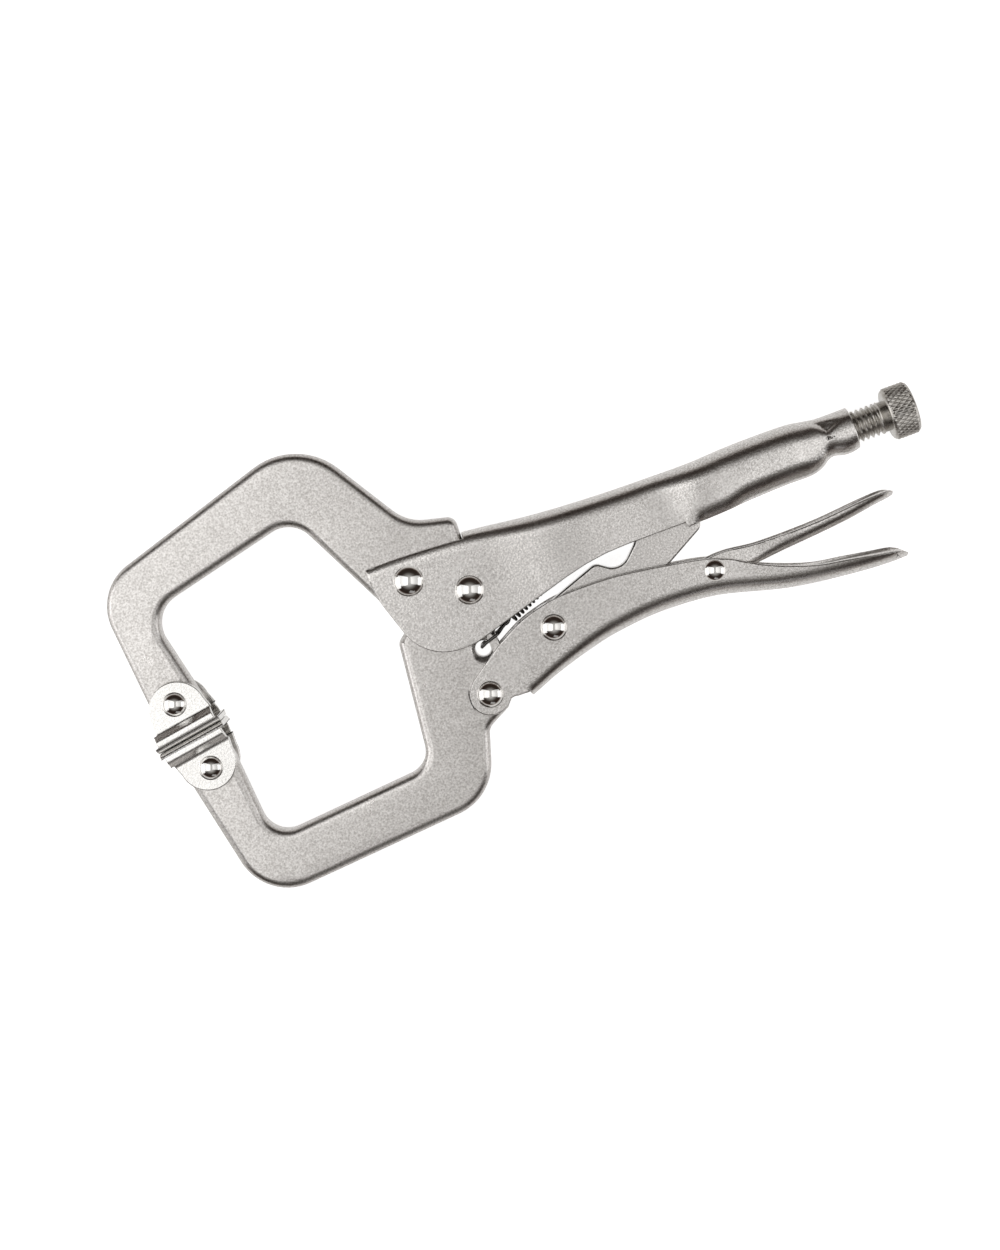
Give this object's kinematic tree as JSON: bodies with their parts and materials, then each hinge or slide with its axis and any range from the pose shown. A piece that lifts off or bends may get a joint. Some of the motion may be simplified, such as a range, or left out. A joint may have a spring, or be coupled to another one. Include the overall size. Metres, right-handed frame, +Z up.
{
  "type": "locking pliers",
  "caption": "Locking C-clamp pliers with swivel pads, a toggle-link grip, a knurled adjusting screw and a release lever, closed and locked.",
  "frame": {"origin": "on the surface the tool lies on, under the middle of its bounding box", "axes": "+X along the adjusting screw towards the knob, +Y towards the fixed jaw's side, +Z up along the rivets"},
  "size_m": [0.2784, 0.1398, 0.0187],
  "materials": {
    "satin_nickel": "satin nickel plate over blasted sheet steel",
    "satin_nickel_jaw": "satin nickel plate over blasted forged steel",
    "bright_nickel": "satin nickel plate",
    "polished_rivet": "polished",
    "dark_nickel": "nickel plate, machined",
    "black_spring_steel": "oiled spring wire"
  },
  "bodies": {
    "fixed_side": {"fixed_handle": "satin_nickel", "fixed_jaw": "satin_nickel_jaw", "jaw_anchor_rivet": "polished_rivet", "jaw_pivot_rivet": "polished_rivet", "tension_spring": "black_spring_steel"},
    "moving_jaw_side": {"moving_jaw": "satin_nickel_jaw"},
    "moving_handle_side": {"moving_handle": "satin_nickel", "handle_pivot_rivet": "polished_rivet", "link_rivet": "polished_rivet", "release_rivet": "polished_rivet"},
    "link": {"toggle_link": "satin_nickel"},
    "release": {"release_lever": "satin_nickel"},
    "upper_pad": {"upper_swivel_pad": "bright_nickel", "upper_pad_rivet": "polished_rivet"},
    "lower_pad": {"lower_swivel_pad": "bright_nickel", "lower_pad_rivet": "polished_rivet"},
    "screw_rod": {"adjusting_screw": "dark_nickel"},
    "knob": {"screw_knob": "dark_nickel"}
  },
  "joints": [
    {"name": "jaw_pivot", "type": "hinge", "parent": "fixed_side", "child": "moving_jaw_side", "pos_m": [-0.02124, 0.00567, 0.00935], "axis": [0, 0, 1], "range_deg": [0, 20], "deforming": ["tension_spring"]},
    {"name": "handle_pivot", "type": "hinge", "parent": "moving_jaw_side", "child": "moving_handle_side", "pos_m": [-0.02694, -0.02973, 0.00935], "axis": [0, 0, 1], "range_deg": [-56.8, 0]},
    {"name": "link_pivot", "type": "hinge", "parent": "moving_handle_side", "child": "link", "pos_m": [0.00086, -0.01593, 0.00935], "axis": [0, 0, 1], "range_deg": [0, 60.2]},
    {"name": "upper_pad_swivel", "type": "hinge", "parent": "fixed_side", "child": "upper_pad", "pos_m": [-0.12784, 0.00387, 0.00935], "axis": [0, 0, 1], "range_deg": [0, 10]},
    {"name": "lower_pad_swivel", "type": "hinge", "parent": "moving_jaw_side", "child": "lower_pad", "pos_m": [-0.12404, -0.02043, 0.00935], "axis": [0, 0, 1], "range_deg": [-10, 0]},
    {"name": "release_pivot", "type": "hinge", "parent": "moving_handle_side", "child": "release", "pos_m": [0.05806, -0.01673, 0.00935], "axis": [0, 0, 1], "range_deg": [-12, 0]},
    {"name": "screw_travel", "type": "slide", "parent": "fixed_side", "child": "screw_rod", "axis": [1, 0, 0], "range_m": [0, 0.029]},
    {"name": "knob_turn", "type": "hinge", "parent": "screw_rod", "child": "knob", "pos_m": [0.13456, 0.01167, 0.00935], "axis": [1, 0, 0], "range_deg": [0, 5760]}
  ],
  "couplings": [
    {"joint": "handle_pivot", "follows": "jaw_pivot", "ratio": -2.8355},
    {"joint": "link_pivot", "follows": "jaw_pivot", "ratio": 3.005},
    {"joint": "upper_pad_swivel", "follows": "jaw_pivot", "ratio": 0.5},
    {"joint": "lower_pad_swivel", "follows": "jaw_pivot", "ratio": -0.5},
    {"joint": "knob_turn", "follows": "screw_travel", "rad_per_m": 3463.7}
  ]
}
